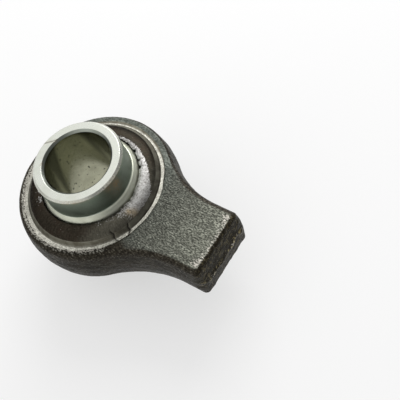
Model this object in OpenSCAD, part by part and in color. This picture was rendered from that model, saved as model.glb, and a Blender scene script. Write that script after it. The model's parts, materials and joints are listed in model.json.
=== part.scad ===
// Weld-on ball end for a linkage arm: a swivel ball held in a forged eye with a weld shank.
// Origin at the ball's centre, +Z along the bore, +X along the shank.

/* [Ball] */
// Bore through the ball, for the pin
bore_d = 25.7; // [18:0.1:28]
// Width of the ball over its two collars
ball_width = 51; // [42:0.5:64]
// Diameter of the ball's sphere
ball_d = 45.5; // [43:0.5:50]
// Outside diameter of the collars
collar_d = 34.6; // [32:0.1:37]
// Chamfer on the collars' outer edges
collar_chamfer = 0.8; // [0.2:0.1:1.2]
// Chamfer at the mouths of the bore
bore_chamfer = 0.9; // [0.2:0.1:1.2]

/* [Socket] */
// Room between the ball and its seat
ball_clearance = 0.25; // [0.1:0.05:0.4]
// Radial room between a collar and the lip that holds the ball
swing_room = 2; // [1:0.1:3]
// Thickness of the lip at its inner edge
lip_edge_t = 0.5; // [0.3:0.1:1]
// Bulge of the lip's rolled face
lip_crown = 0.5; // [0.1:0.1:0.9]
// Wall of the rim at its foot, outside the seat
rim_wall = 3.6; // [2.5:0.05:4.5]
// How far the rim's outer wall leans inwards
rim_lean = 1.85; // [0.5:0.05:2.2]
// Height of the rim above the turned land
rim_h = 2.3; // [1.5:0.1:3.5]
// Width of the turned land round the rim
land_w = 1.7; // [1:0.1:3]
// Depth of the land below the forged face
land_depth = 0.35; // [0.1:0.05:0.8]

/* [Forging] */
// Diameter of the eye at the parting line
eye_d = 64; // [60:0.5:76]
// Thickness of the forging
forging_t = 18; // [15:0.5:24]
// Height of the trimmed band at the parting line
trim_band = 4; // [2:0.5:6]
// Draft angle of the sides, off the band
side_draft = 10; // [5:0.5:14]
// Rounding of the side edges
side_edge_r = 2.4; // [1:0.1:4]

/* [Shank] */
// From the bore's axis to the weld face
reach = 57.8; // [50:0.2:78]
// Width of the shank at the parting line
shank_w = 29; // [24:0.2:36]
// Radius of the hollow between eye and shank
neck_r = 43; // [28:1:60]
// Draft angle of the shank's end
end_draft = 6; // [2:0.5:8]
// Rounding of the end's upper and lower edges
end_edge_r = 1.5; // [0.4:0.1:2.2]
// Rounding of the end's upright corners
corner_r = 4; // [1:0.5:5]

/* [Hidden] */
$fn = 96;
// Straight steps in a drawn rounding
arc_steps = 8;
// How far a cutter runs past the face that it cuts
past = 1;
// Depth that each neck hollow sinks into the forms it joins, so that they cross cleanly
neck_sink = 0.1;

ball_r = ball_d / 2;
ball_half = ball_width / 2;
bore_r = bore_d / 2;
collar_r = collar_d / 2;

seat_r = ball_r + ball_clearance;
lip_r = collar_r + swing_room;
lip_top = sqrt(seat_r * seat_r - lip_r * lip_r) + lip_edge_t;

half_t = forging_t / 2;
land_z = half_t - land_depth;
rim_r = seat_r + rim_wall;
crest_r = rim_r - rim_lean;
crest_z = land_z + rim_h;
land_r = rim_r + land_w;

eye_r = eye_d / 2;
shank_half = shank_w / 2;

// Centre of the neck hollow, which touches the eye and the shank's side
neck_y = shank_half + neck_r - neck_sink;
neck_span = eye_r + neck_r - neck_sink;
neck_x = sqrt(neck_span * neck_span - neck_y * neck_y);
// Corner of the web between the eye and the shank, just outside the eye
web_share = (eye_r + past) / neck_span;
web_x = neck_x * web_share;
web_y = neck_y * web_share;

// A forged edge from the parting band up to the flat face, as [inset, height] points
function half_edge(draft, r) = let (
    arc_z = half_t - r,
    arc_foot = arc_z + r * sin(draft),
    arc_inset = (arc_foot - trim_band / 2) * tan(draft) + r * cos(draft)
) [
    [0, trim_band / 2],
    for (i = [0 : arc_steps])
        let (a = draft + (90 - draft) * i / arc_steps)
            [arc_inset - r * cos(a), arc_z + r * sin(a)]
];

function backwards(points) = [for (i = [len(points) - 1 : -1 : 0]) points[i]];

function flipped(points) = [for (p = points) [p[0], -p[1]]];

// The same edge from the lower face to the upper face
function full_edge(draft, r) = let (upper = half_edge(draft, r))
    concat(flipped(backwards(upper)), upper);

// Points along an arc from a to b that bows out to the right of the straight line by crown
function bowed(a, b, crown) = let (
    chord = norm(b - a),
    along = (b - a) / chord,
    off = [along[1], -along[0]],
    r = (chord * chord / 4 + crown * crown) / (2 * crown),
    centre = (a + b) / 2 + off * (crown - r),
    half_angle = asin(chord / 2 / r)
) [
    for (i = [0 : arc_steps])
        let (t = half_angle * (2 * i / arc_steps - 1))
            centre + r * (along * sin(t) + off * cos(t))
];

side_edge = full_edge(side_draft, side_edge_r);
end_edge = full_edge(end_draft, end_edge_r);

// The forged disc round the ball
module eye_blank() {
    rotate_extrude()
        polygon(concat([[0, -half_t]], [for (p = side_edge) [eye_r - p[0], p[1]]], [[0, half_t]]));
}

// Plan of the shank, with its upright corners rounded
module shank_plan() {
    corner = [
        for (i = [0 : arc_steps])
            let (a = 90 * i / arc_steps)
                [reach - corner_r + corner_r * sin(a), shank_half - corner_r + corner_r * cos(a)]
    ];
    polygon(concat([[0, shank_half]], corner, flipped(backwards(corner)), [[0, -shank_half]]));
}

// The straight shank: drafted sides, drafted end and rounded corners
module shank_bar() {
    right = [for (p = side_edge) [shank_half - p[0], p[1]]];
    left = [for (p = backwards(right)) [-p[0], p[1]]];
    intersection() {
        rotate([90, 0, 90])
            linear_extrude(reach + past)
                polygon(concat(right, left));
        rotate([90, 0, 0])
            linear_extrude(shank_w + 2 * past, center = true)
                polygon(concat([[0, -half_t]], [for (p = end_edge) [reach - p[0], p[1]]], [[0, half_t]]));
        linear_extrude(forging_t + 2 * past, center = true)
            shank_plan();
    }
}

// A spool whose waist has the forged edge, cut out of the web to leave one neck hollow
module neck_spool() {
    waist = [for (p = side_edge) [neck_r + p[0], p[1]]];
    mouth_r = waist[0][0];
    top = half_t + past;
    rotate_extrude()
        polygon(concat([[0, -top], [mouth_r, -top]], waist, [[mouth_r, top], [0, top]]));
}

// The web that widens the shank into the eye
module neck_web() {
    difference() {
        linear_extrude(forging_t, center = true)
            polygon([[0, 0], [web_x, -web_y], [neck_x, -web_y], [neck_x, web_y], [web_x, web_y]]);
        for (side = [-1, 1])
            translate([neck_x, side * neck_y, 0])
                neck_spool();
    }
}

// The forging before it is turned
module forging() {
    union() {
        eye_blank();
        neck_web();
        shank_bar();
    }
}

// The turned rims on both faces, rolled inwards over the ball
module rims() {
    lip_face = bowed([crest_r, crest_z], [lip_r, lip_top], lip_crown);
    upper = concat([[rim_r, land_z]], lip_face, [[0, lip_top]]);
    rotate_extrude()
        polygon(concat(flipped(backwards(upper)), upper));
}

// Turned lands on both faces of the forging, round the rims
module land_cuts() {
    for (flip = [0, 1])
        mirror([0, 0, flip])
            translate([0, 0, land_z])
                cylinder(r = land_r, h = land_depth + past);
}

// Forged eye and shank in one piece, with its ball seat
module forged_eye() {
    color("#4a4641")
        difference() {
            union() {
                difference() {
                    forging();
                    land_cuts();
                }
                rims();
            }
            sphere(r = seat_r);
            cylinder(r = lip_r, h = 2 * lip_top + 2 * past, center = true);
        }
}

// Turned and plated ball with its two collars
module swivel_ball() {
    chamfer_r = collar_r - collar_chamfer;
    chamfer_z = ball_half - collar_chamfer;
    mouth_r = bore_r + bore_chamfer + past;
    mouth_z = ball_half + past;
    wall_z = ball_half - bore_chamfer;
    color("#c8cdc3")
        difference() {
            union() {
                sphere(r = ball_r);
                rotate_extrude()
                    polygon([
                        [0, -ball_half], [chamfer_r, -ball_half], [collar_r, -chamfer_z],
                        [collar_r, chamfer_z], [chamfer_r, ball_half], [0, ball_half]
                    ]);
            }
            rotate_extrude()
                polygon([
                    [0, -mouth_z], [mouth_r, -mouth_z], [bore_r, -wall_z],
                    [bore_r, wall_z], [mouth_r, mouth_z], [0, mouth_z]
                ]);
        }
}

forged_eye();
swivel_ball();
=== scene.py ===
"""Looks of a weld-on ball end: a forged eye with a weld shank, and the plated ball that swivels in it.

Shapes are worked out in millimetres, in the part's own frame, and become metres as their mesh is made.
Azimuths are degrees round the bore, from +X towards +Y.
"""

import json
import math

import bpy
import numpy as np
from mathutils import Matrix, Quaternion, Vector, noise
from mathutils.geometry import delaunay_2d_cdt


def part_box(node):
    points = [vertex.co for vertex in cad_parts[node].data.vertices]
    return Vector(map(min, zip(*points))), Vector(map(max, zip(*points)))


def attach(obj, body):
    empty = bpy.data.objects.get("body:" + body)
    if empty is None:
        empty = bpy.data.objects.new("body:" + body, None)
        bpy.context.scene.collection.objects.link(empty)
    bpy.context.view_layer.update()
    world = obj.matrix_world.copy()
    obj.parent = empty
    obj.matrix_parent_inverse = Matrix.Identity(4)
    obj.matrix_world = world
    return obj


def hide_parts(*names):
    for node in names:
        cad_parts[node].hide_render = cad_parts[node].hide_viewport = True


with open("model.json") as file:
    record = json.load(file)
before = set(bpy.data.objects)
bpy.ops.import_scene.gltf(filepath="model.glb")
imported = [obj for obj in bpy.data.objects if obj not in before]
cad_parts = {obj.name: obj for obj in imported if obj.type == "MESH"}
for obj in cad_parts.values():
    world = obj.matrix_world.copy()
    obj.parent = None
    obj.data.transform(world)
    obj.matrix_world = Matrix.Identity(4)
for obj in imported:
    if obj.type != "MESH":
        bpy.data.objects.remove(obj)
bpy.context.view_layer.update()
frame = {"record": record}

MM = 0.001
TURN = 2 * math.pi


def high_corner(node):
    """A node's highest corner in millimetres, to the tenths of its drawing."""
    return [round(value / MM, 1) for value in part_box(node)[1]]


def mount(name):
    """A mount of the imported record."""
    return next(m for m in frame["record"]["mounts"] if m["name"] == name)


# Sizes that the frame gives
REACH, EYE_R, _ = high_corner("forged_eye")
BALL_R, _, BALL_HALF = high_corner("swivel_ball")
BORE_R = mount("pin_bore")["dims"]["r_mm"]

# Sizes of the ball
COLLAR_R = 17.3
COLLAR_CHAMFER = 0.8
COLLAR_ROOT = 0.35
BORE_CHAMFER = 0.9
BALL_EASE = 0.12
CHAMFER_R = COLLAR_R - COLLAR_CHAMFER
CHAMFER_Z = BALL_HALF - COLLAR_CHAMFER

# Sizes of the socket
BALL_CLEARANCE = 0.25
SWING_ROOM = 2
LIP_EDGE_T = 0.5
LIP_CROWN = 0.5
RIM_WALL = 3.6
RIM_LEAN = 1.85
RIM_H = 2.3
LAND_W = 1.7
LAND_DEPTH = 0.35
SEAT_R = BALL_R + BALL_CLEARANCE
LIP_R = COLLAR_R + SWING_ROOM
LIP_TOP = math.sqrt(SEAT_R**2 - LIP_R**2) + LIP_EDGE_T
RIM_R = SEAT_R + RIM_WALL
CREST_R = RIM_R - RIM_LEAN
LAND_R = RIM_R + LAND_W

# Roundings and small steps of the rim
LAND_STEP_W = 0.04
RIM_FOOT = 0.2
CREST_LOW = 0.25
CREST_IN = 0.3
LIP_ROUND = 0.18

# Sizes of the forging
HALF_T = 9
LAND_Z = HALF_T - LAND_DEPTH
CREST_Z = LAND_Z + RIM_H
TRIM_HALF = 2
SIDE_DRAFT = math.radians(10)
SIDE_EDGE = 2.4
END_DRAFT = math.radians(6)
END_EDGE = 1.5
SHANK_HALF = 14.5
CORNER_R = 4
CORNER_TOP_R = 1.2
NECK_R = 43
NECK_Y = SHANK_HALF + NECK_R
NECK_X = math.sqrt((EYE_R + NECK_R) ** 2 - NECK_Y**2)
NECK_ANGLE = math.atan2(NECK_Y, NECK_X)

# Fineness of the meshes: steps in plan, and rows along each stretch of a section
OUTLINE_STEP = 0.4
FACE_STEP = 0.36
CORNER_STEPS = 14
EYE_ANGLES = 480
BALL_ANGLES = 480
SPHERE_ROWS = 22
COLLAR_ROWS = 8
RING_ROWS = 14
BORE_ROWS = 12
BAND_ROWS = 5
DRAFT_ROWS = 13
EDGE_ROWS = 9
LAND_ROWS = 9
RIM_ROWS = 7
LIP_ROWS = 17
SEAT_ROWS = 10

# Marks that the forging's points carry, from 0 to 1: rough grain, torn metal, bare metal, rust, brown
# oxide, darkness (dark cracks, and painted shade in the ball seat, at the lip's edge and at the rim's foot),
# cracks, the eye's turned edge, and sides that blasting never reached
EYE_MARKS = ("grain", "torn", "bare", "rust", "brown", "dark", "crack", "turned", "side")

# Marks that the ball's points carry: bright plate (off it, the collars' walls take a darker plate that is
# partly painted reflection), the sphere, rust, and darkness: dirt in the nick, and painted shade and painted
# reflection in the bore and its mouth
BALL_MARKS = ("bright", "sphere", "rust", "dark")


def waves(points, size):
    """Smooth noise from -1 to 1 at each point, with hills about size millimetres across."""
    return np.array([noise.noise(Vector(p) / size) for p in points])


def relief(points, layers):
    """Heights of noise in layers, each given as the height and the size of its hills."""
    return sum(height * waves(points, size) for height, size in layers)


def ring_noise(angles, radius, size, seed):
    """Noise round a circle, which closes on itself."""
    level = np.full_like(angles, seed)
    return waves(np.stack([radius * np.cos(angles), radius * np.sin(angles), level], axis=1), size)


def step(values, low, high):
    """A smooth step from 0 at low to 1 at high."""
    share = np.clip((values - low) / (high - low), 0, 1)
    return share * share * (3 - 2 * share)


def bell(off, width):
    """A hump that is 1 where off is 0 and falls away over a width on both sides."""
    return np.exp(-((off / width) ** 2))


def polar(azimuth, radius):
    """A place in plan, from an azimuth and a radius."""
    return np.array([radius * math.cos(math.radians(azimuth)), radius * math.sin(math.radians(azimuth))])


def away(angles, centre):
    """Angle from a centre direction, from -pi to pi."""
    return (angles - centre + math.pi) % TURN - math.pi


def around(azimuth, table):
    """A value at each azimuth, between those that a table of (azimuth, value) gives round the circle."""
    return np.interp(azimuth, *zip(*table), period=360)


def near_line(x, y, places, width):
    """How near points in plan lie to a bent line through places, from 0 far off to 1 on it."""
    points = np.stack(np.broadcast_arrays(x, y), axis=-1)
    nearest = np.full(points.shape[:-1], np.inf)
    for start, end in zip(places, places[1:]):
        along = end - start
        share = np.clip((points - start) @ along / (along @ along), 0, 1)
        off = points - start - share[..., None] * along
        nearest = np.minimum(nearest, np.hypot(off[..., 0], off[..., 1]))
    return bell(nearest, width)


def near_spot(x, y, place, width):
    """How near points in plan lie to a spot, from 0 far off to 1 on it."""
    return bell(x - place[0], width) * bell(y - place[1], width)


def rounded(corner, before, after, steps=4):
    """Points of a small curve that rounds off a corner, between two offsets from it."""
    shares = [i / steps for i in range(steps + 1)]
    curves = []
    for c, b, a in zip(corner, before, after):
        curves.append([(c + b) * (1 - t) ** 2 + 2 * c * t * (1 - t) + (c + a) * t**2 for t in shares])
    return list(zip(*curves))


def mirrored(section):
    """The lower half of a section, from its upper half, in backward order."""
    return [(r, -z) for r, z in reversed(section)]


class Skin:
    """The points and faces of one closed mesh, gathered row by row, with the marks that its points carry."""

    def __init__(self, materials, marks):
        self.materials = materials
        self.points = np.zeros((0, 3))
        self.marks = {name: np.zeros(0) for name in marks}
        self.faces = []
        self.paints = []

    def row(self, x, y, z, **marks):
        """Adds a row of points with their marks, and returns their numbers."""
        x, y, z = np.broadcast_arrays(x, y, z)
        first = len(self.points)
        self.points = np.vstack([self.points, np.stack([x, y, z], axis=1)])
        for name, values in self.marks.items():
            self.marks[name] = np.append(values, np.broadcast_to(marks.get(name, 0.0), x.shape))
        return np.arange(first, len(self.points))

    def bridge(self, first, second, material):
        """Quads between two closed rows, which run anticlockwise, up the outside and in over the top."""
        quads = np.stack([first, np.roll(first, -1), np.roll(second, -1), second], axis=1)
        self.add_faces(quads.tolist(), material)

    def add_faces(self, faces, material):
        """Adds faces of one material."""
        self.faces.extend(faces)
        self.paints.extend([self.materials.index(material)] * len(faces))

    def fill(self, outer, inner, middle, inside, material):
        """Triangles of a flat face between two closed rows, by way of the loose points of a third."""
        numbers = np.concatenate([outer, inner, middle])
        flat = [Vector(p[:2]) for p in self.points[numbers]]
        edges = []
        for row, offset in ((outer, 0), (inner, len(outer))):
            edges += [(offset + i, offset + (i + 1) % len(row)) for i in range(len(row))]
        made, _, triangles, sources, _, _ = delaunay_2d_cdt(flat, edges, [], 0, 1e-6)
        centres = np.array([sum((made[i] for i in t), Vector((0, 0))) / 3 for t in triangles])
        kept = [t for t, good in zip(triangles, inside(centres[:, 0], centres[:, 1])) if good]
        turn = 1 if self.points[middle[0]][2] > 0 else -1
        self.add_faces([[int(numbers[sources[i][0]]) for i in t][::turn] for t in kept], material)

    def push(self, amounts):
        """Moves each point along the mesh's own normal, by millimetres."""
        mesh = bpy.data.meshes.new("normals")
        mesh.from_pydata(self.points.tolist(), [], self.faces)
        normals = np.zeros(len(self.points) * 3)
        mesh.vertex_normals.foreach_get("vector", normals)
        bpy.data.meshes.remove(mesh)
        self.points = self.points + normals.reshape(-1, 3) * amounts[:, None]

    def build(self, name):
        """Makes the object, in metres."""
        mesh = bpy.data.meshes.new(name)
        mesh.from_pydata((self.points * MM).tolist(), [], self.faces)
        for material in self.materials:
            mesh.materials.append(material)
        mesh.polygons.foreach_set("material_index", self.paints)
        mesh.shade_smooth()
        for mark_name, values in self.marks.items():
            attribute = mesh.attributes.new(mark_name, "FLOAT", "POINT")
            attribute.data.foreach_set("value", values.astype(np.float32))
        mesh.update()
        return add_object(name, mesh)


def add_object(name, data):
    """Adds an object with its data to the scene."""
    made = bpy.data.objects.new(name, data)
    bpy.context.scene.collection.objects.link(made)
    return made


# Node helpers

# Numbers of the sockets that a colour mix uses
MIX_SHARE = 0
MIX_FIRST = 6
MIX_SECOND = 7
MIX_RESULT = 2


def feed(tree, node, inputs):
    """Fills a node's inputs with values or with other nodes' outputs."""
    for key, value in inputs.items():
        if isinstance(value, bpy.types.NodeSocket):
            tree.links.new(value, node.inputs[key])
        else:
            node.inputs[key].default_value = value


def put(tree, kind, inputs=None, **settings):
    """Adds a node, sets its options and fills its inputs."""
    made = tree.nodes.new(kind)
    for name, value in settings.items():
        setattr(made, name, value)
    feed(tree, made, inputs or {})
    return made


def painted(look):
    """A material named after a look, with the inputs that the look makes for its Principled surface."""
    made = bpy.data.materials.new(look.__name__)
    made.use_nodes = True
    tree = made.node_tree
    feed(tree, tree.nodes["Principled BSDF"], look(tree, millimetres(tree)))
    return made


def mark(tree, name):
    """A mark that the mesh carries."""
    return put(tree, "ShaderNodeAttribute", attribute_name=name).outputs["Fac"]


def maths(tree, operation, first, second=0.0):
    """One or two values put through an operation."""
    return put(tree, "ShaderNodeMath", {0: first, 1: second}, operation=operation).outputs[0]


def plus(tree, first, second):
    """The sum of two values."""
    return maths(tree, "ADD", first, second)


def times(tree, first, second):
    """The product of two values."""
    return maths(tree, "MULTIPLY", first, second)


def larger(tree, first, second):
    """The larger of two values."""
    return maths(tree, "MAXIMUM", first, second)


def ramp(tree, value, low, high, to_low=0.0, to_high=1.0):
    """A value stretched smoothly from one range to another and held there."""
    inputs = {"Value": value, "From Min": low, "From Max": high, "To Min": to_low, "To Max": to_high}
    return put(tree, "ShaderNodeMapRange", inputs, interpolation_type="SMOOTHSTEP").outputs[0]


def between(tree, share, first, last):
    """A value that goes from first to last as a share goes from 0 to 1."""
    return ramp(tree, share, 0.0, 1.0, first, last)


def frayed(tree, share, grain, spread, fray, held):
    """A share whose border is frayed: grain, over a spread, shifts it either way before a ramp holds it."""
    return ramp(tree, plus(tree, share, ramp(tree, grain, *spread, -fray, fray)), *held)


def mixed(tree, share, first, second):
    """Two colours mixed by a share."""
    inputs = {MIX_SHARE: share}
    for key, colour in ((MIX_FIRST, first), (MIX_SECOND, second)):
        inputs[key] = colour if isinstance(colour, bpy.types.NodeSocket) else (*colour, 1.0)
    return put(tree, "ShaderNodeMix", inputs, data_type="RGBA").outputs[MIX_RESULT]


def millimetres(tree):
    """The place on the object in millimetres."""
    place = put(tree, "ShaderNodeTexCoord").outputs["Object"]
    return put(tree, "ShaderNodeVectorMath", {0: place, "Scale": 1 / MM}, operation="SCALE").outputs[0]


def parts_of(tree, vector):
    """The X, Y and Z of a vector."""
    return put(tree, "ShaderNodeSeparateXYZ", {0: vector}).outputs


def stretched(tree, place, shares):
    """A place with its X, Y and Z each multiplied by a share."""
    return put(tree, "ShaderNodeVectorMath", {0: place, 1: shares}, operation="MULTIPLY").outputs[0]


def toward(tree, place, side):
    """How far a place lies in a direction."""
    return put(tree, "ShaderNodeVectorMath", {0: place, 1: side}, operation="DOT_PRODUCT").outputs["Value"]


def radius_from_axis(tree, place):
    """Distance from the bore's axis in millimetres."""
    flat = stretched(tree, place, (1, 1, 0))
    return put(tree, "ShaderNodeVectorMath", {0: flat}, operation="LENGTH").outputs["Value"]


def speckle(tree, place, size, detail=2.0, rough=0.5):
    """Noise from 0 to 1 with spots about size millimetres across."""
    inputs = {"Vector": place, "Scale": 1 / size, "Detail": detail, "Roughness": rough}
    return put(tree, "ShaderNodeTexNoise", inputs).outputs["Fac"]


def turning_lines(tree, place):
    """Fine concentric lines, as a turning tool leaves them."""
    inputs = {"W": radius_from_axis(tree, place), "Scale": 1 / TURNING_PITCH, "Detail": 1.0}
    return put(tree, "ShaderNodeTexNoise", inputs, noise_dimensions="1D").outputs["Fac"]


def radial_streaks(tree, place, width, length):
    """Noise drawn out along the radius, as rolled metal wrinkles."""
    parts = parts_of(tree, place)
    round_rim = times(tree, maths(tree, "ARCTAN2", parts["Y"], parts["X"]), CREST_R)
    outwards = times(tree, radius_from_axis(tree, place), width / length)
    unrolled = put(tree, "ShaderNodeCombineXYZ", {"X": round_rim, "Y": outwards}).outputs[0]
    return speckle(tree, unrolled, width)


def bump(tree, height, depth, below=None):
    """A bumpy normal whose height of 1 stands for depth millimetres."""
    inputs = {"Height": height, "Strength": 1.0, "Distance": depth * MM}
    if below is not None:
        inputs["Normal"] = below
    return put(tree, "ShaderNodeBump", inputs).outputs["Normal"]


# Materials. A pair of colours is the two ends of a mottled stretch.

# Colour of dirt and dark cracks, and of painted shade in the ball seat, at the lip's edge, at the rim's foot
# and in the bore's mouth
SOOT_AND_SHADE = (0.010, 0.009, 0.008)
TURNING_PITCH = 0.3

# Directions in plan of the side where the eye is blasted grey and the lip's oxide is black, and of the
# side where that oxide is thin and olive. Away from the first one the eye keeps its brown scale.
BLASTED_SIDE = (0.5, 0.866, 0)
OLIVE_SIDE = (0.98, -0.17, 0)

# Millimetres over which the forging's colours change: from eye to shank, along the shank, up the sides,
# and across the eye towards its blasted side
EYE_TO_SHANK = (22, 30)
SHANK_TO_END = (26, REACH)
WALL_TO_SHOULDER = (4.6, 7.2)
SCALE_TO_BLASTED = (-16, 6)

# How the forging's noise is drawn out along the shank, and in the layers of its sides
GRAIN_STRETCH = (0.6, 1, 1)
LAYER_STRETCH = (0.35, 0.35, 1)

# Colours of the forging's blasted faces
SHANK_GREY = (0.034, 0.037, 0.031), (0.146, 0.152, 0.126)
# Grainier and paler towards the shank's end; the paleness is a painted sheen
END_GREY = (0.068, 0.072, 0.057), (0.280, 0.287, 0.233)
SHANK_PITS = (0.044, 0.044, 0.035)
SHANK_GLINTS = (0.34, 0.34, 0.29)
EYE_GREY = (0.105, 0.116, 0.100), (0.165, 0.180, 0.155)
EYE_PITS = (0.040, 0.043, 0.035)

# Colours of the forging's scaled sides
SHOULDER_BROWN = (0.013, 0.0105, 0.007), (0.046, 0.039, 0.026)
SHOULDER_GLINTS = (0.14, 0.128, 0.095)
WALL_BROWN = (0.018, 0.0155, 0.010), (0.052, 0.047, 0.035)
WALL_PATCHES = (0.026, 0.020, 0.012)

# Colours of the forging's worn places
TORN_BROWN = (0.017, 0.014, 0.007)
RUBBED_STEEL = (0.48, 0.455, 0.405)
TURNED_EDGE = (0.24, 0.23, 0.20), (0.42, 0.41, 0.36)
RUST_FLECKS = (0.38, 0.32, 0.17)


def blasted_grey(tree, along, fine, patchy, broad, grain):
    """Colour of the blasted faces: mottled on the eye, grainy and paler towards the shank's end, where the
    paler grey is a painted sheen.
    """
    shank = mixed(tree, grain, *SHANK_GREY)
    # Paler towards the shank's end: a painted sheen
    shank = mixed(tree, ramp(tree, along, *SHANK_TO_END), shank, mixed(tree, grain, *END_GREY))
    shank = mixed(tree, ramp(tree, patchy, 0.34, 0.62, 0.5, 0.0), shank, SHANK_PITS)
    shank = mixed(tree, ramp(tree, fine, 0.68, 0.76, 0.0, 0.7), shank, SHANK_GLINTS)
    eye_face = mixed(tree, ramp(tree, broad, 0.35, 0.65), *EYE_GREY)
    eye_face = mixed(tree, ramp(tree, fine, 0.3, 0.55, 0.7, 0.0), eye_face, EYE_PITS)
    return mixed(tree, ramp(tree, along, *EYE_TO_SHANK), eye_face, shank)


def scaled_brown(tree, place, fine, broad, grain):
    """Colour of the sides that keep their scale: layered on the walls, grainy on the shoulders."""
    layers = speckle(tree, stretched(tree, place, LAYER_STRETCH), size=1.7, detail=3.0)
    shoulder = mixed(tree, grain, *SHOULDER_BROWN)
    shoulder = mixed(tree, ramp(tree, fine, 0.60, 0.74, 0.0, 0.5), shoulder, SHOULDER_GLINTS)
    wall = mixed(tree, ramp(tree, layers, 0.36, 0.68), *WALL_BROWN)
    wall = mixed(tree, ramp(tree, broad, 0.50, 0.66, 0.0, 0.7), wall, WALL_PATCHES)
    height = maths(tree, "ABSOLUTE", parts_of(tree, place)["Z"])
    return mixed(tree, ramp(tree, height, *WALL_TO_SHOULDER), wall, shoulder)


def forged_skin(tree, place):
    """Forging scale: blasted grey on the faces, dark brown on the sides, bare at worn edges."""
    drawn = stretched(tree, place, GRAIN_STRETCH)
    fine = speckle(tree, drawn, size=0.5)
    patchy = speckle(tree, drawn, size=1.6)
    broad = speckle(tree, place, size=5.0, detail=3.0)
    grain = ramp(tree, fine, 0.34, 0.63)
    grey = blasted_grey(tree, parts_of(tree, place)["X"], fine, patchy, broad, grain)
    brown = scaled_brown(tree, place, fine, broad, grain)

    normal = put(tree, "ShaderNodeNewGeometry").outputs["Normal"]
    upright = maths(tree, "ABSOLUTE", parts_of(tree, normal)["Z"])
    lean = ramp(tree, toward(tree, place, BLASTED_SIDE), *SCALE_TO_BLASTED, -0.8, 0.0)
    blasted = ramp(tree, plus(tree, upright, lean), 0.76, 0.96)
    blasted = times(tree, blasted, between(tree, mark(tree, "side"), 1.0, 0.0))
    skin = mixed(tree, blasted, brown, grey)
    skin = mixed(tree, times(tree, mark(tree, "torn"), 0.75), skin, TORN_BROWN)
    worn = frayed(tree, mark(tree, "bare"), fine, (0.3, 0.7), 0.36, (0.30, 0.80))
    skin = mixed(tree, worn, skin, RUBBED_STEEL)
    turned = frayed(tree, mark(tree, "turned"), fine, (0.3, 0.7), 0.3, (0.15, 1.05))
    skin = mixed(tree, turned, skin, mixed(tree, grain, *TURNED_EDGE))
    flecks = ramp(tree, speckle(tree, place, size=1.3, detail=3.0, rough=0.7), 0.52, 0.62)
    skin = mixed(tree, times(tree, flecks, mark(tree, "rust")), skin, RUST_FLECKS)

    sheen = larger(tree, larger(tree, worn, turned), between(tree, blasted, 0.0, 0.6))
    lumps = bump(tree, patchy, depth=0.3)
    return {
        "Base Color": mixed(tree, mark(tree, "dark"), skin, SOOT_AND_SHADE),
        "Metallic": between(tree, sheen, 0.3, 0.95),
        "Roughness": ramp(tree, fine, 0.3, 0.7, 0.60, 0.42),
        "Specular IOR Level": between(tree, blasted, 0.14, 0.5),
        "Normal": bump(tree, fine, depth=0.24, below=lumps),
    }


# Colours of the turned land and of the rim's wall
LAND_STEEL = (0.36, 0.35, 0.305), (0.72, 0.71, 0.63)
LAND_STAIN = (0.27, 0.255, 0.22)
RIM_OLIVE = (0.200, 0.193, 0.152), (0.125, 0.115, 0.087)
RIM_GROOVES = (0.075, 0.068, 0.050)
RIM_OXIDE = (0.195, 0.187, 0.149), (0.125, 0.117, 0.092)


def turned_steel(tree, place):
    """Turned steel: clean on the land, stained on the rim's wall, browner where the mark says so."""
    lines = turning_lines(tree, place)
    fine = speckle(tree, place, size=0.55)
    stain = ramp(tree, speckle(tree, place, size=3.0, detail=4.0, rough=0.6), 0.40, 0.66)
    clean = mixed(tree, ramp(tree, fine, 0.30, 0.66), *LAND_STEEL)
    clean = mixed(tree, times(tree, stain, 0.35), clean, LAND_STAIN)
    wall = mixed(tree, stain, *RIM_OLIVE)
    wall = mixed(tree, ramp(tree, lines, 0.35, 0.6, 0.5, 0.0), wall, RIM_GROOVES)
    wall = mixed(tree, mark(tree, "brown"), wall, mixed(tree, stain, *RIM_OXIDE))
    skin = mixed(tree, mark(tree, "bare"), wall, clean)
    rings = bump(tree, lines, depth=0.02)
    return {
        "Base Color": mixed(tree, mark(tree, "dark"), skin, SOOT_AND_SHADE),
        "Metallic": 1.0,
        "Roughness": ramp(tree, fine, 0.3, 0.7, 0.50, 0.38),
        "Normal": bump(tree, fine, depth=0.02, below=rings),
    }


# Colours of the rolled lip
LIP_OXIDE = (0.012, 0.0095, 0.0065), (0.054, 0.045, 0.033)
LIP_RED = (0.034, 0.023, 0.016)
LIP_OLIVE = (0.082, 0.077, 0.060), (0.170, 0.162, 0.128)
LIP_BLACK = (0.024, 0.023, 0.018)
LIP_GLINTS = (0.32, 0.31, 0.28)
LIP_SILVER = (0.405, 0.40, 0.385), (0.325, 0.315, 0.30)
SILVER_PITS = (0.15, 0.138, 0.13)
SILVER_GLINTS = (0.58, 0.575, 0.56)
LIP_RUST = (0.40, 0.33, 0.23)
OXIDE_TINT = (0.29, 0.28, 0.24)
WHITE = (1, 1, 1)

# Size in millimetres of the wrinkles on the rolled lip
WRINKLE_WIDTH = 0.45
WRINKLE_LENGTH = 2.2


def lip_oxide(tree, place, fine, broad, mottled):
    """Colour of the lip's oxide: dark brown with red patches, olive on one side and black on another."""
    oxide = mixed(tree, mottled, *LIP_OXIDE)
    oxide = mixed(tree, ramp(tree, broad, 0.46, 0.66, 0.0, 0.45), oxide, LIP_RED)
    olive = ramp(tree, toward(tree, place, OLIVE_SIDE), 12, 22, 0.0, 0.85)
    oxide = mixed(tree, olive, oxide, mixed(tree, mottled, *LIP_OLIVE))
    sooty = ramp(tree, toward(tree, place, BLASTED_SIDE), 16, 22, 0.0, 0.6)
    sooty = times(tree, sooty, ramp(tree, broad, 0.35, 0.6, 1.0, 0.5))
    oxide = mixed(tree, sooty, oxide, LIP_BLACK)
    return mixed(tree, ramp(tree, fine, 0.68, 0.74, 0.0, 0.6), oxide, LIP_GLINTS)


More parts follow.
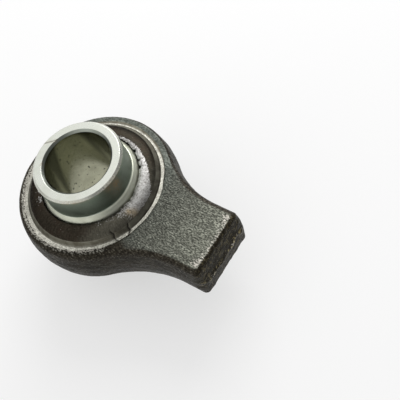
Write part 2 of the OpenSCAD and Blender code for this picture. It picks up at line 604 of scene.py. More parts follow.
def rolled_lip(tree, place):
    """The rolled lip: scraped to bare metal on one side, dark oxide elsewhere, rust where they meet."""
    fine = speckle(tree, place, size=0.6, detail=3.0, rough=0.65)
    broad = speckle(tree, place, size=3.0)
    wrinkles = radial_streaks(tree, place, WRINKLE_WIDTH, WRINKLE_LENGTH)
    mottled = [ramp(tree, value, 0.3, 0.7, 0.0, 0.5) for value in (wrinkles, fine)]
    oxide = lip_oxide(tree, place, fine, broad, plus(tree, *mottled))
    silver = mixed(tree, ramp(tree, broad, 0.4, 0.65), *LIP_SILVER)
    silver = mixed(tree, ramp(tree, fine, 0.32, 0.50, 0.95, 0.0), silver, SILVER_PITS)
    silver = mixed(tree, ramp(tree, fine, 0.52, 0.66, 0.0, 0.8), silver, SILVER_GLINTS)
    scraped = frayed(tree, mark(tree, "bare"), fine, (0.25, 0.75), 0.42, (0.36, 0.70))
    rust = times(tree, mark(tree, "rust"), ramp(tree, fine, 0.28, 0.52))
    skin = mixed(tree, rust, mixed(tree, scraped, oxide, silver), LIP_RUST)
    folds = bump(tree, wrinkles, depth=0.05)
    return {
        "Base Color": mixed(tree, mark(tree, "dark"), skin, SOOT_AND_SHADE),
        "Metallic": between(tree, scraped, 0.8, 1.0),
        "Specular Tint": mixed(tree, scraped, OXIDE_TINT, WHITE),
        "Roughness": between(tree, scraped, 0.36, 0.42),
        "Normal": bump(tree, fine, depth=0.10, below=folds),
    }


# Colours of the ball's plate and of its rust
PLATE_RING = (0.73, 0.75, 0.685), (0.65, 0.67, 0.595)
# The collars' walls: a duller plate, darkened further as painted dark reflection
PLATE_WALL = (0.29, 0.345, 0.282), (0.24, 0.288, 0.228)
PLATE_SPHERE = (0.686, 0.709, 0.589), (0.611, 0.633, 0.512)
RING_RUST = (0.45, 0.395, 0.29), (0.70, 0.68, 0.57)
WALL_RUST = (0.36, 0.245, 0.13)
PLATE_BORE = (0.72, 0.72, 0.53), (0.62, 0.62, 0.45)
# Colour of the painted reflections and painted shade inside the bore
PAINTED_BORE_SHADE = (0.09, 0.095, 0.07)
BORE_SPECKS = (0.06, 0.055, 0.035)


def plated_steel(tree, place):
    """Thin zinc plate on turned steel: bright, but dull and darker on the collars' walls, where the darker
    colour is partly painted reflection, and worn at the edges.
    """
    fine = speckle(tree, place, size=0.7)
    haze = speckle(tree, place, size=4.0, detail=4.0, rough=0.6)
    hazy = ramp(tree, haze, 0.35, 0.7)
    bright = mark(tree, "bright")
    on_sphere = mark(tree, "sphere")
    shiny = mixed(tree, on_sphere, mixed(tree, hazy, *PLATE_RING), mixed(tree, hazy, *PLATE_SPHERE))
    # Walls take the darker plate, partly painted reflection
    plate = mixed(tree, bright, mixed(tree, hazy, *PLATE_WALL), shiny)
    rusty = mixed(tree, bright, WALL_RUST, mixed(tree, ramp(tree, fine, 0.4, 0.6), *RING_RUST))
    rust = times(tree, mark(tree, "rust"), ramp(tree, fine, 0.32, 0.5))
    plate = mixed(tree, rust, plate, rusty)
    gloss = ramp(tree, haze, 0.3, 0.7, 0.24, 0.34)
    dull = larger(tree, between(tree, bright, 0.12, 0.0), times(tree, on_sphere, 0.1))
    return {
        "Base Color": mixed(tree, mark(tree, "dark"), plate, SOOT_AND_SHADE),
        "Metallic": between(tree, rust, 1.0, 0.3),
        "Roughness": plus(tree, gloss, dull),
        "Normal": bump(tree, turning_lines(tree, place), depth=0.006),
    }


def bore_plate(tree, place):
    """The plate inside the bore, thinner and olive, with small dark specks, and with painted reflections and
    painted shade that darken it.
    """
    haze = speckle(tree, place, size=5.0, detail=3.0)
    specks = ramp(tree, speckle(tree, place, size=1.1, detail=1.0), 0.66, 0.72)
    colour = mixed(tree, ramp(tree, haze, 0.35, 0.7), *PLATE_BORE)
    # Painted reflections and painted shade in the bore
    colour = mixed(tree, mark(tree, "dark"), colour, PAINTED_BORE_SHADE)
    return {
        "Base Color": mixed(tree, specks, colour, BORE_SPECKS),
        "Metallic": 1.0,
        "Roughness": ramp(tree, haze, 0.3, 0.7, 0.16, 0.21),
    }


# The floor's colour where it lights the object and where it is looked at, and its lift to white there
FLOOR_GREY = (0.70, 0.70, 0.70)
FLOOR_PALE = (0.95, 0.95, 0.95)
FLOOR_LIFT = 0.55


def pale_floor(tree, place):
    """A pale studio floor, lifted towards white where it is looked at, that keeps a soft shadow."""
    path = put(tree, "ShaderNodeLightPath").outputs
    seen = larger(tree, path["Is Camera Ray"], path["Is Glossy Ray"])
    seen = larger(tree, seen, path["Is Transmission Ray"])
    surface = tree.nodes["Principled BSDF"].outputs[0]
    white = put(tree, "ShaderNodeEmission", {"Strength": 1.0}).outputs[0]
    lifted = {0: times(tree, seen, FLOOR_LIFT), 1: surface, 2: white}
    both = put(tree, "ShaderNodeMixShader", lifted).outputs[0]
    feed(tree, tree.nodes["Material Output"], {"Surface": both})
    return {
        "Base Color": mixed(tree, seen, FLOOR_GREY, FLOOR_PALE),
        "Roughness": 0.9,
        "Specular IOR Level": 0.0,
    }


# The swivel ball

# How far short of the collar's wall the sphere turns into it, in radians
ROOT_TURN = 0.02


def ball_outline():
    """Upper half section of the ball, as (radius, height) of its outside and of its bore."""
    root_z = math.sqrt(BALL_R**2 - COLLAR_R**2)
    wall_z = root_z + COLLAR_ROOT
    mouth_r = BORE_R + BORE_CHAMFER
    mouth_z = BALL_HALF - BORE_CHAMFER
    ease = BALL_EASE
    slope = ease * math.sqrt(0.5)
    sphere_top = math.atan2(root_z, COLLAR_R) - ROOT_TURN
    outside = [(BALL_R * math.cos(a), BALL_R * math.sin(a)) for a in np.linspace(0, sphere_top, SPHERE_ROWS)]
    sphere_end = (outside[-1][0] - COLLAR_R, outside[-1][1] - root_z)
    # The sphere's last row comes twice, so that the shading breaks there
    outside += outside[-1:] + rounded((COLLAR_R, root_z), sphere_end, (0, COLLAR_ROOT))[1:]
    outside += [(COLLAR_R, z) for z in np.linspace(wall_z, CHAMFER_Z - ease, COLLAR_ROWS)[1:-1]]
    outside += rounded((COLLAR_R, CHAMFER_Z), (0, -ease), (-slope, slope))
    outside += rounded((CHAMFER_R, BALL_HALF), (slope, -slope), (-ease, 0))
    outside += [(r, BALL_HALF) for r in np.linspace(CHAMFER_R - ease, mouth_r + ease, RING_ROWS)[1:-1]]
    outside += rounded((mouth_r, BALL_HALF), (ease, 0), (-slope, -slope))
    outside += rounded((BORE_R, mouth_z), (slope, slope), (0, -ease))
    bore = [(BORE_R, z) for z in np.linspace(mouth_z - ease, 0, BORE_ROWS)[1:-1]]
    return outside, bore


# A nick across the upper ring, with a burr at its inner end
NICK = [polar(164, 13.4), polar(168, 14.2), polar(174, 15.6), polar(178, 16.6)]
NICK_WIDTH = 0.22
NICK_DEPTH = 0.16
NICK_DIRT = 0.65
NICK_WEAR = 0.65
NICK_WEAR_WIDTH = 0.6
BURR = polar(163, 13.7)
BURR_WIDTH = 0.5
BURR_HEIGHT = 0.12

# A stain on the upper ring, and stains on the collar below it as (place, height, width, share)
RING_STAIN = [polar(-152, 13.6), polar(-148, 14.1)]
RING_STAIN_WIDTH = 0.4
RING_STAIN_SHARE = 0.8
WALL_STAINS = [
    (polar(0, COLLAR_R), 22.3, 1.5, 1.0),
    (polar(-3, COLLAR_R), 19.5, 2.8, 0.45),
    (polar(-12, COLLAR_R), 23.2, 1.6, 0.6),
]

# Wear of the upper collar's chamfer, all round and more about two directions, and how it fades
CHAMFER_WEAR = 0.25
CHAMFER_WORN = 0.65
WORN_DIRECTIONS = [math.radians(-58), math.radians(-4)]
WORN_SPREAD = 0.3
WEAR_INWARDS = 0.1
WEAR_FADE = 0.2

# Azimuths between which the bore's plate is bright, at its mouth and for each millimetre down, and how they
# fade. How dark the plate is painted outside them, as a painted reflection of dark surroundings, and deep
# down between them, as painted shade.
BRIGHT_FROM = (129, -1.0)
BRIGHT_TO = (171, 1.35)
FROM_FADE = 7
TO_FADE = 5
DARK_BORE_SHARE = 0.78
DEEP_BORE_SHARE = 0.3
DEEP_BORE = (2, 14)

# How dark the chamfer at the bore's mouth is painted, all round and more on one side, and how bright its
# plate
# is: painted shade and painted reflection of dark surroundings
MOUTH_SHADE = 0.25
MOUTH_DARK_SIDE = math.radians(205)
MOUTH_DARK_WIDTH = math.radians(45)
MOUTH_DARK_SHARE = 0.4
MOUTH_BRIGHT = 0.5


def ball_wear(x, y, z):
    """Rust, dirt and rise of the ball's upper end at its points."""
    on_ring = step(z, BALL_HALF - BORE_CHAMFER - WEAR_FADE, BALL_HALF - WEAR_FADE)
    nick = near_line(x, y, NICK, NICK_WIDTH) * on_ring
    burr = near_spot(x, y, BURR, BURR_WIDTH) * on_ring
    rust = NICK_WEAR * near_line(x, y, NICK, NICK_WEAR_WIDTH) * on_ring
    rust = rust + RING_STAIN_SHARE * near_line(x, y, RING_STAIN, RING_STAIN_WIDTH) * on_ring
    for place, height, width, share in WALL_STAINS:
        rust = rust + share * near_spot(x, y, place, width) * bell(z - height, width)
    on_chamfer = step(np.hypot(x, y), CHAMFER_R - WEAR_INWARDS, CHAMFER_R + WEAR_FADE)
    on_chamfer = on_chamfer * step(z, CHAMFER_Z - WEAR_FADE, CHAMFER_Z)
    worn = sum(bell(away(np.arctan2(y, x), centre), WORN_SPREAD) for centre in WORN_DIRECTIONS)
    rust = rust + on_chamfer * (CHAMFER_WEAR + CHAMFER_WORN * worn)
    return np.clip(rust, 0, 1), NICK_DIRT * nick, BURR_HEIGHT * burr - NICK_DEPTH * nick


def bore_shade(angles, z):
    """How dark the bore's plate is painted at a height, round the bore: painted reflections and painted
    shade.
    """
    depth = BALL_HALF - abs(z)
    start = BRIGHT_FROM[0] + BRIGHT_FROM[1] * depth
    stop = BRIGHT_TO[0] + BRIGHT_TO[1] * depth
    azimuth = np.degrees(angles) % 360
    bright = step(azimuth, start - FROM_FADE, start + FROM_FADE)
    bright = bright * (1 - step(azimuth, stop - TO_FADE, stop + TO_FADE))
    return DARK_BORE_SHARE * (1 - bright) + DEEP_BORE_SHARE * bright * (1 - step(abs(z), *DEEP_BORE))


def mouth_shade(angles):
    """How dark the chamfer at the bore's mouth is painted, round the bore: painted shade and painted
    reflection.
    """
    return MOUTH_SHADE + MOUTH_DARK_SHARE * bell(away(angles, MOUTH_DARK_SIDE), MOUTH_DARK_WIDTH)


def swivel_ball(plate, bore_finish):
    """The ball with its collars and bore, revolved from its half section."""
    skin = Skin([plate, bore_finish], BALL_MARKS)
    angles = np.arange(BALL_ANGLES) * TURN / BALL_ANGLES
    outside, bore = ball_outline()
    section = outside + bore + [(BORE_R, 0)] + mirrored(bore) + mirrored(outside[1:])
    rows = []
    for r, z in section:
        on_wall = abs(r - COLLAR_R) < BALL_EASE and abs(z) < CHAMFER_Z
        in_mouth = BORE_R < r < BORE_R + BORE_CHAMFER
        x, y = r * np.cos(angles), r * np.sin(angles)
        rust, dark, rise = ball_wear(x, y, np.full_like(x, z))
        # In the bore and its mouth the dark mark is painted reflection and painted shade
        if r <= BORE_R:
            dark = bore_shade(angles, z)
        elif in_mouth:
            dark = mouth_shade(angles)
        # Walls take the darker plate, partly painted reflection, and the bore's mouth half of it, painted
        # shade
        bright = 0.0 if on_wall else MOUTH_BRIGHT if in_mouth else 1.0
        on_sphere = float(r > COLLAR_R + BALL_EASE)
        rows.append(skin.row(x, y, z + rise, bright=bright, sphere=on_sphere, rust=rust, dark=dark))
    for i, row in enumerate(rows):
        after = (i + 1) % len(rows)
        in_bore = max(section[i][0], section[after][0]) <= BORE_R
        skin.bridge(row, rows[after], bore_finish if in_bore else plate)
    return skin.build("swivel_ball_skin")


# The forged eye


def edge_profile(draft, radius):
    """Insets and heights of a forged edge from the parting line up to the flat face."""
    centre_z = HALF_T - radius
    foot_z = centre_z + radius * math.sin(draft)
    flat_inset = (foot_z - TRIM_HALF) * math.tan(draft) + radius * math.cos(draft)
    rows = [(0, z) for z in np.linspace(0, TRIM_HALF, BAND_ROWS, endpoint=False)]
    for z in np.linspace(TRIM_HALF, foot_z, DRAFT_ROWS, endpoint=False):
        rows.append(((z - TRIM_HALF) * math.tan(draft), z))
    for a in np.linspace(draft, math.pi / 2, EDGE_ROWS):
        rows.append((flat_inset - radius * math.cos(a), centre_z + radius * math.sin(a)))
    return np.array(rows)


SIDE_PROFILE = edge_profile(SIDE_DRAFT, SIDE_EDGE)
END_PROFILE = edge_profile(END_DRAFT, END_EDGE)


def arc(centre, radius, start, stop, steps):
    """Points along an arc, without its last one."""
    angles = start + (stop - start) * np.arange(steps) / steps
    return np.stack([centre[0] + radius * np.cos(angles), centre[1] + radius * np.sin(angles)], axis=1)


def straight(start, stop, steps):
    """Points along a straight line, without its last one."""
    shares = np.arange(steps)[:, None] / steps
    return np.array(start) + (np.array(stop) - np.array(start)) * shares


def plan(side_inset, end_inset, corner_r):
    """The forging's outline, anticlockwise from its end, and each point's share of the end's profile."""
    side_y = SHANK_HALF - side_inset
    end_x = REACH - end_inset
    corner_x = end_x - corner_r
    corner_y = side_y - corner_r
    hollow_r = NECK_R + side_inset
    meets = math.pi + NECK_ANGLE
    quarter = math.pi / 2
    neck_steps = round(NECK_R * (3 * quarter - meets) / OUTLINE_STEP)
    side_steps = round((REACH - CORNER_R - NECK_X) / OUTLINE_STEP)
    end_steps = round(2 * (SHANK_HALF - CORNER_R) / OUTLINE_STEP)
    eye_steps = round(EYE_R * (TURN - 2 * NECK_ANGLE) / OUTLINE_STEP)
    parts = [
        straight((end_x, -corner_y), (end_x, corner_y), end_steps),
        arc((corner_x, corner_y), corner_r, 0, quarter, CORNER_STEPS),
        straight((corner_x, side_y), (NECK_X, side_y), side_steps),
        arc((NECK_X, NECK_Y), hollow_r, 3 * quarter, meets, neck_steps),
        arc((0, 0), EYE_R - side_inset, NECK_ANGLE, TURN - NECK_ANGLE, eye_steps),
        arc((NECK_X, -NECK_Y), hollow_r, TURN - meets, quarter, neck_steps),
        straight((NECK_X, -side_y), (corner_x, -side_y), side_steps),
        arc((corner_x, -corner_y), corner_r, -quarter, 0, CORNER_STEPS),
    ]
    turn_in = np.arange(CORNER_STEPS) / CORNER_STEPS
    middle = 2 * side_steps + 2 * neck_steps + eye_steps
    share = np.concatenate([np.ones(end_steps), 1 - turn_in, np.zeros(middle), turn_in])
    return np.concatenate(parts), share


# The sheared ridge that wanders along the middle of the shank's end, and the chips on it
RIDGE = 0.6
RIDGE_HALF = 1.1
RIDGE_WANDER = 3.0
RIDGE_WAVE = 5.0
CHIP_WAVE = 3.1
CHIP_LEVELS = (-0.1, 0.3)

# How many rows of the sides, counted from the flat face, are rubbed bare, turned over or still grey
RUBBED_ROWS = 1.3
TURNED_ROWS = 1.8
GREY_ROWS = 1.2

# Where in plan the eye's scaled side, its turned edge and the shank's brown sides set in, and how far
# outside the eye its lowered edge runs out
SCALED_OVER = (-12, 6)
TURNED_OVER = (-5, 15)
SIDES_OVER = (26, 34)
EDGE_RUN_OUT = (0.1, 1.5)

# How rough the sides are, and how torn the end's lower half is beside its upper half
SIDE_GRAIN = 0.7
LOWER_TORN = 0.7


def scaled_side(x, y):
    """How far a place in plan lies on the side of the eye that keeps its scale, from 0 to 1."""
    return 1 - step(x * BLASTED_SIDE[0] + y * BLASTED_SIDE[1], *SCALED_OVER)


def end_ridge(y, z):
    """How far points of the shank's end lie on its ridge, and how far the ridge is chipped there."""
    along = np.stack([0 * y, y, 0 * y], axis=1)
    wander = RIDGE_WANDER * waves(along, RIDGE_WAVE)
    return bell(z - wander, RIDGE_HALF), step(waves(along, CHIP_WAVE), *CHIP_LEVELS)


def outline_rows(skin):
    """Rows of the forging's sides, from the lower flat face up to the upper one."""
    rows = []
    last = len(SIDE_PROFILE) - 1
    for i, sign in [(i, -1) for i in range(last, -1, -1)] + [(i, 1) for i in range(1, last + 1)]:
        side_inset, side_z = SIDE_PROFILE[i]
        end_inset, end_z = END_PROFILE[i]
        points, share = plan(side_inset, end_inset, CORNER_R + (CORNER_TOP_R - CORNER_R) * (i / last))
        x, y = points.T
        outside_eye = np.hypot(x, y) + side_inset - EYE_R
        on_eye = 1 - step(outside_eye, *EDGE_RUN_OUT)
        z = np.minimum(side_z + (end_z - side_z) * share, HALF_T - LAND_DEPTH * on_eye)
        on_ridge, chips = end_ridge(y, sign * z)
        at_edge = bell(last - i, RUBBED_ROWS)
        turned_over = on_eye * scaled_side(x, y) * bell(last - i, TURNED_ROWS)
        marks = {
            "grain": SIDE_GRAIN,
            "torn": share * (1 - at_edge) * (1.0 if sign > 0 else LOWER_TORN),
            "bare": share * (0.5 * at_edge + 0.5 * on_ridge * chips),
            "rust": share * (0.2 + 0.8 * on_ridge),
            "turned": turned_over * (0.5 + 0.5 * step(-x, *TURNED_OVER)),
            "side": (1 - bell(last - i, GREY_ROWS)) * step(x, *SIDES_OVER),
        }
        rows.append(skin.row(x + RIDGE * share * on_ridge, y, sign * z, **marks))
    return rows


def on_flat_face(x, y, margin=0.0):
    """Whether a point in plan lies on the forging's flat face, clear of its edge by a margin."""
    side_inset = SIDE_PROFILE[-1][0] + margin
    end_inset = END_PROFILE[-1][0] + margin
    on_eye = np.hypot(x, y) < EYE_R - side_inset
    before_neck = np.clip(NECK_X - x, 0, NECK_R)
    half_width = NECK_Y - np.sqrt((NECK_R + side_inset) ** 2 - before_neck**2)
    web_start = (EYE_R - side_inset) * math.cos(NECK_ANGLE)
    on_shank = (x > web_start) & (x < REACH - end_inset) & (np.abs(y) < half_width)
    return on_eye | on_shank


def round_land(x, y):
    """Whether a point in plan lies on the flat face and outside the land."""
    return on_flat_face(x, y) & (np.hypot(x, y) > LAND_R - LAND_RAG - OUTLINE_STEP)


def face_spots():
    """Evenly spread points on the flat face round the land."""
    across = np.arange(-EYE_R, EYE_R, FACE_STEP * math.sqrt(0.75))
    along = np.arange(-EYE_R, REACH, FACE_STEP)
    x, y = np.meshgrid(along, across)
    x = x + (np.arange(len(across)) % 2)[:, None] * FACE_STEP / 2
    margin = FACE_STEP * 0.6
    kept = on_flat_face(x, y, margin) & (np.hypot(x, y) > LAND_R + LAND_RAG + margin)
    return x[kept], y[kept]


# Where the blasted face is rubbed bright: along the end's edge and at its corners
RUBBED_SHARE = 0.42
RUBBED_EDGE_W = 1.7
RUBBED_CORNERS = [np.array([54.3, -10.0]), np.array([54.6, 10.3])]
RUBBED_CORNER_W = 2.6


def rubbed(x, y):
    """How far the flat face is rubbed bright near the shank's end, from 0 to 1."""
    edge = bell(REACH - END_PROFILE[-1][0] - x, RUBBED_EDGE_W)
    corners = sum(near_spot(x, y, corner, RUBBED_CORNER_W) for corner in RUBBED_CORNERS)
    return np.clip(RUBBED_SHARE * (edge + corners), 0, 1)


# How the land's outer edge wanders, how its step runs out level round the free side of the eye, how bare
# and rough that step is, and how dull the land is away from the shank
LAND_RAG = 0.12
LAND_WAVE = 0.9
FLUSH_FADE = 0.1
STEP_BARE = 0.7
STEP_GRAIN = 0.3
LAND_DULL = 0.3
DULL_OVER = (5, 20)

# The radius out to which the turned land is clean, at each azimuth, and how sharply that ends
CLEAN_LAND = [
    (0, 28.7),
    (30, 28.1),
    (60, 27.5),
    (90, 27.25),
    (120, 27.3),
    (150, 27.7),
    (175, 28.7),
    (270, 28.7),
]
CLEAN_FADE = 0.2

# Azimuths over which the rim's wall turns from brown to olive grey and back, and the marks of its foot,
# whose dark mark on the brown side is painted shade in the corner at the land
OLIVE_FROM = (-128, -96)
OLIVE_TO = (-32, -8)
FOOT_BARE = 0.2
FOOT_DARK = 0.6

# How ragged the lip's edge is, all round and in bites, and the share of both where it isn't scraped
LIP_RAG = 0.08
LIP_BITE = 0.7
BITE_WAVE = 1.1
BITE_LEVELS = (0.1, 0.5)
LESS_RAGGED = 0.35

# How far the lip's edge is worn back, at each azimuth
LIP_WORN = [
    (-150, 0.0),
    (-60, 0.05),
    (-40, 0.2),
    (-16.5, 0.9),
    (-15, 0.0),
    (2.5, 0.4),
    (4.5, 0.0),
    (120, 0.02),
]

# How far the scraped side of the lip is beaten down at its edge, and over what width
LIP_DROOP = 0.35
DROOP_WIDTH = 0.9

# How rough the lip is, how bare its edge is where scraped and how dark it is painted elsewhere, and how dark
# the seat is painted: painted shade in the gap between lip and ball
LIP_GRAIN = 0.4
EDGE_BARE = 0.5
EDGE_DARK = 0.8
SEAT_DARK = 0.9

# Azimuths over which the lip's scraped side starts and ends, and its silver's outer edge at each azimuth
SCRAPED_FROM = (-24, 0)
SCRAPED_TO = (84, 98)
SILVER_EDGE = [(-14, 25.0), (12, 25.2), (20, 24.2), (30, 23.2), (50, 21.8), (75, 20.9), (96, 20.2)]
SILVER_FADE = 0.5

# Spots of silver beside the scraped side as (place, width, share), and spots of rust as (place, width)
SILVER_SPOTS = [
    (polar(-128, 20.2), 1.5, 0.55),
    (polar(-140, 20.3), 1.3, 0.42),
    (polar(-19, 20.8), 1.9, 0.5),
    (polar(-30, 20.4), 1.7, 0.42),
    (polar(-43, 20.2), 1.4, 0.36),
]
RUST_SPOTS = [(polar(-9, 24.2), 1.4), (polar(-12, 22.6), 0.9)]

# Two cracks across the rim's wall and the land
CRACKS = [
    [polar(-35, 24.6), polar(-33.4, 25.5), polar(-34.5, 26.2), polar(-34.2, 26.9), polar(-33, 27.7)],
    [polar(-19.4, 25.2), polar(-21, 25.9), polar(-20.6, 26.4), polar(-22.6, 27.1), polar(-25.2, 28.3)],
]
CRACK_WIDTH = 0.26
CRACK_DEPTH = 0.35

# The underside's wear is the upper side's, turned by this much
UNDERSIDE_TURN = math.radians(140)

# Layers of relief, as the height and size of their hills, on rough faces and on torn ones
GRAIN_RELIEF = [(0.10, 5.0), (0.06, 1.7), (0.05, 0.95)]
TORN_RELIEF = [(0.28, 2.6), (0.14, 1.1)]


def lip_height(r):
    """Height of the lip's bowed face at a radius."""
    chord = math.hypot(CREST_R - LIP_R, LIP_TOP - CREST_Z)
    bow_r = (chord**2 / 4 + LIP_CROWN**2) / (2 * LIP_CROWN)
    off_r = (LIP_TOP - CREST_Z) / chord
    off_z = (CREST_R - LIP_R) / chord
    centre_r = (CREST_R + LIP_R) / 2 + off_r * (LIP_CROWN - bow_r)
    centre_z = (CREST_Z + LIP_TOP) / 2 + off_z * (LIP_CROWN - bow_r)
    return centre_z + np.sqrt(bow_r**2 - (r - centre_r) ** 2)


def lip_scraped(azimuth):
    """How far the lip is scraped at an azimuth, from 0 to 1."""
    return step(azimuth, *SCRAPED_FROM) * (1 - step(azimuth, *SCRAPED_TO))


def lip_marks(azimuth, r):
    """Bare metal and rust on the lip, at an azimuth and a radius."""
    x, y = r * np.cos(np.radians(azimuth)), r * np.sin(np.radians(azimuth))
    inside = step(np.interp(azimuth, *zip(*SILVER_EDGE)) - r, -SILVER_FADE, SILVER_FADE)
    spots = sum(share * near_spot(x, y, place, width) for place, width, share in SILVER_SPOTS)
    rust = sum(near_spot(x, y, place, width) for place, width in RUST_SPOTS)
    return {"bare": np.clip(lip_scraped(azimuth) * inside + spots, 0, 1), "rust": np.clip(rust, 0, 1)}


def land_rows(angles, seed):
    """The step round the land and the land itself, from the outside in, as (radius, height, marks)."""
    out = LAND_R + LAND_RAG * ring_noise(angles, LAND_R, LAND_WAVE, seed)
    across, up = LAND_R * np.cos(angles), LAND_R * np.sin(angles)
    flush = step(np.abs(away(angles, 0)), NECK_ANGLE - FLUSH_FADE, NECK_ANGLE + FLUSH_FADE)
    step_marks = {"grain": STEP_GRAIN, "bare": STEP_BARE * scaled_side(across, up)}
    rows = [(out, HALF_T - LAND_DEPTH * flush, step_marks)]
    shine = 1 - LAND_DULL * step(-across, *DULL_OVER)
    clean_r = around(np.degrees(angles), CLEAN_LAND)
    for share in np.linspace(0, 1, LAND_ROWS):
        start = out - LAND_STEP_W
        r = start + (RIM_R + RIM_FOOT - start) * share
        clean = 1 - step(r, clean_r - CLEAN_FADE, clean_r + CLEAN_FADE)
        rows.append((r, LAND_Z, {"bare": shine * clean}))
    return rows


def wall_rows(azimuth):
    """The rim's leaning wall, from its foot up to its crest, as (radius, height, marks)."""
    brown = 1 - step(azimuth, *OLIVE_FROM) * (1 - step(azimuth, *OLIVE_TO))
    lean = RIM_LEAN / RIM_H
    foot = rounded((RIM_R, LAND_Z), (RIM_FOOT, 0), (-RIM_FOOT * lean, RIM_FOOT))[1:]
    # On the brown side the foot is painted dark: painted shade in the corner
    foot_marks = {"bare": FOOT_BARE * (1 - brown), "brown": brown, "dark": FOOT_DARK * brown}
    rows = [(r, z, foot_marks) for r, z in foot]
    for z in np.linspace(LAND_Z + RIM_FOOT, CREST_Z - CREST_LOW, RIM_ROWS)[1:-1]:
        rows.append((RIM_R - (z - LAND_Z) * lean, z, {"brown": brown}))
    return rows


def lip_rows(azimuth, edge_r, bites):
    """The rim's crest and the lip, from the outside in to the lip's edge, as (radius, height, marks)."""
    scraped = lip_scraped(azimuth)
    crest_in = CREST_R - CREST_IN
    low = (CREST_LOW * RIM_LEAN / RIM_H, -CREST_LOW)
    high = (-CREST_IN, float(lip_height(crest_in)) - CREST_Z)
    rows = [(r, z, lip_marks(azimuth, r)) for r, z in rounded((CREST_R, CREST_Z), low, high)]
    for share in np.linspace(0, 1, LIP_ROWS)[1:]:
        r = crest_in + (edge_r + LIP_ROUND - crest_in) * share
        z = lip_height(r) - LIP_DROOP * scraped * np.exp(-(r - edge_r) / DROOP_WIDTH)
        rows.append((r, z, {"grain": LIP_GRAIN, **lip_marks(azimuth, r)}))
    # The lip's edge is painted dark as painted shade in the gap, less where it is scraped bare
    edge_marks = {"bare": EDGE_BARE * scraped, "dark": EDGE_DARK * (1 - scraped * (1 - bites))}
    for step_r, step_z in rounded((0, 0), (LIP_ROUND, 0), (0, -LIP_ROUND))[1:]:
        rows.append((edge_r + step_r, z + step_z, edge_marks))
    return rows


def rim_side(skin, angles, sign, turned, lip):
    """Land, rim and lip on one face of the eye. Returns the outer and inner rows and the edge's radius."""
    seed = 40 + 17 * sign
    worn_angles = away(angles, 0 if sign > 0 else UNDERSIDE_TURN)
    azimuth = np.degrees(worn_angles)
    bites = step(ring_noise(angles, LIP_R, BITE_WAVE, seed + 3), *BITE_LEVELS)
    ragged = LESS_RAGGED + (1 - LESS_RAGGED) * lip_scraped(azimuth)
    edge_r = LIP_R + around(azimuth, LIP_WORN) + (LIP_RAG + LIP_BITE * bites) * ragged
    chain = [(turned, *row) for row in land_rows(angles, seed) + wall_rows(azimuth)]
    chain += [(lip, *row) for row in lip_rows(azimuth, edge_r, bites)]
    rows = []
    for material, r, z, marks in chain:
        x, y = r * np.cos(worn_angles), r * np.sin(worn_angles)
        crack = np.clip(sum(near_line(x, y, line, CRACK_WIDTH) for line in CRACKS), 0, 1)
        marks = {**marks, "dark": np.maximum(crack, marks.get("dark", 0.0)), "crack": crack}
        rows.append(skin.row(r * np.cos(angles), r * np.sin(angles), sign * z, **marks))
        if len(rows) > 1:
            first, second = (rows[-2], rows[-1]) if sign > 0 else (rows[-1], rows[-2])
            skin.bridge(first, second, material)
    return rows[0], rows[-1], edge_r


def forged_eye(scale, turned, lip):
    """The forging with its eye, shank, rims and ball seat."""
    skin = Skin([scale, turned, lip], EYE_MARKS)
    sides = outline_rows(skin)
    for first, second in zip(sides, sides[1:]):
        skin.bridge(first, second, scale)

    angles = np.arange(EYE_ANGLES) * TURN / EYE_ANGLES
    upper_out, upper_in, upper_edge = rim_side(skin, angles, 1, turned, lip)
    lower_out, lower_in, lower_edge = rim_side(skin, angles, -1, turned, lip)
    top_angle = np.arccos(upper_edge / SEAT_R)
    low_angle = -np.arccos(lower_edge / SEAT_R)
    row = upper_in
    for share in np.linspace(0, 1, SEAT_ROWS):
        tilt = top_angle + (low_angle - top_angle) * share
        r, z = SEAT_R * np.cos(tilt), SEAT_R * np.sin(tilt)
        # The seat is painted dark, as painted shade under the lip
        after = skin.row(r * np.cos(angles), r * np.sin(angles), z, dark=SEAT_DARK)
        skin.bridge(row, after, turned)
        row = after
    skin.bridge(row, lower_in, turned)

    x, y = face_spots()
    for z, outer, inner in ((HALF_T, sides[-1], upper_out), (-HALF_T, sides[0], lower_out)):
        skin.fill(outer, inner, skin.row(x, y, z, grain=1.0, bare=rubbed(x, y)), round_land, scale)

    rough = relief(skin.points, GRAIN_RELIEF) * skin.marks["grain"]
    torn = relief(skin.points, TORN_RELIEF) * skin.marks["torn"]
    skin.push(rough + torn - CRACK_DEPTH * skin.marks["crack"])
    return skin.build("forged_eye_skin")


# Pieces

eye = forged_eye(painted(forged_skin), painted(turned_steel), painted(rolled_lip))
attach(eye, "arm_end")
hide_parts("forged_eye")

ball = swivel_ball(painted(plated_steel), painted(bore_plate))
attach(ball, "ball")
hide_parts("swivel_ball")

# Stage, light and camera, in metres

FLOOR_HALF = 6.0
FLOOR_GAP = 0.05
FLOOR_Z = -(BALL_HALF + FLOOR_GAP) * MM


def floor():
    """A wide floor just under the object."""
    corners = [(-1, -1), (1, -1), (1, 1), (-1, 1)]
    mesh = bpy.data.meshes.new("floor")
    mesh.from_pydata([(x * FLOOR_HALF, y * FLOOR_HALF, FLOOR_Z) for x, y in corners], [], [(0, 1, 2, 3)])
    mesh.materials.append(painted(pale_floor))
    add_object("floor", mesh)


def direction(azimuth, elevation):
    """A unit direction from the object, in degrees."""
    a, e = math.radians(azimuth), math.radians(elevation)
    return Vector((math.cos(a) * math.cos(e), math.sin(a) * math.cos(e), math.sin(e)))


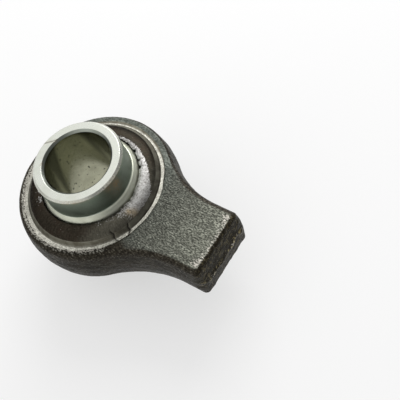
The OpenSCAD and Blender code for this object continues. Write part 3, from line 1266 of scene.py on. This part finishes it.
# The studio: dim all round, bright above and behind the object, and bright low in front of it
BASE_LEVEL = 0.22
SOFT_LIGHTS = [
    {"from": direction(150, 60), "fades": (0.35, 0.95), "level": 0.72},
    {"from": direction(-95, 15), "fades": (0.55, 0.95), "level": 0.65},
]


def studio():
    """A plain white world, brighter in the directions of its soft lights."""
    world = bpy.data.worlds.new("studio")
    bpy.context.scene.world = world
    world.use_nodes = True
    tree = world.node_tree
    ray = put(tree, "ShaderNodeTexCoord").outputs["Generated"]
    level = BASE_LEVEL
    for light in SOFT_LIGHTS:
        facing = toward(tree, ray, light["from"])
        level = plus(tree, level, ramp(tree, facing, *light["fades"], 0.0, light["level"]))
    feed(tree, tree.nodes["Background"], {"Strength": level, "Color": (*WHITE, 1)})


KEY_FROM = direction(110, 35)
KEY_DISTANCE = 0.7
KEY_SIZE = 0.5
KEY_POWER = 2.8


def key_lamp():
    """A soft lamp behind the object, low enough to show the grain of the forging."""
    data = bpy.data.lights.new("key", "AREA")
    data.size = KEY_SIZE
    data.energy = KEY_POWER
    made = add_object("key", data)
    made.location = KEY_FROM * KEY_DISTANCE
    made.rotation_mode = "QUATERNION"
    made.rotation_quaternion = (-KEY_FROM).to_track_quat("-Z", "Y")


CAMERA_PLACE = Vector((172.58, -69.92, 249.82)) * MM
CAMERA_AIM = Vector((37.23, 14.90, 0)) * MM
CAMERA_ROLL = math.radians(-28.44)
CAMERA_LENS = 72
CAMERA_NEAR = 0.01


def camera():
    """The camera at the viewing angle that was fitted to the object."""
    data = bpy.data.cameras.new("camera")
    data.lens = CAMERA_LENS
    data.clip_start = CAMERA_NEAR
    made = add_object("camera", data)
    look = (CAMERA_AIM - CAMERA_PLACE).to_track_quat("-Z", "Y")
    made.location = CAMERA_PLACE
    made.rotation_mode = "QUATERNION"
    made.rotation_quaternion = look @ Quaternion((0, 0, 1), CAMERA_ROLL)
    bpy.context.scene.camera = made


floor()
studio()
key_lamp()
camera()
bpy.context.scene.view_settings.view_transform = "Standard"
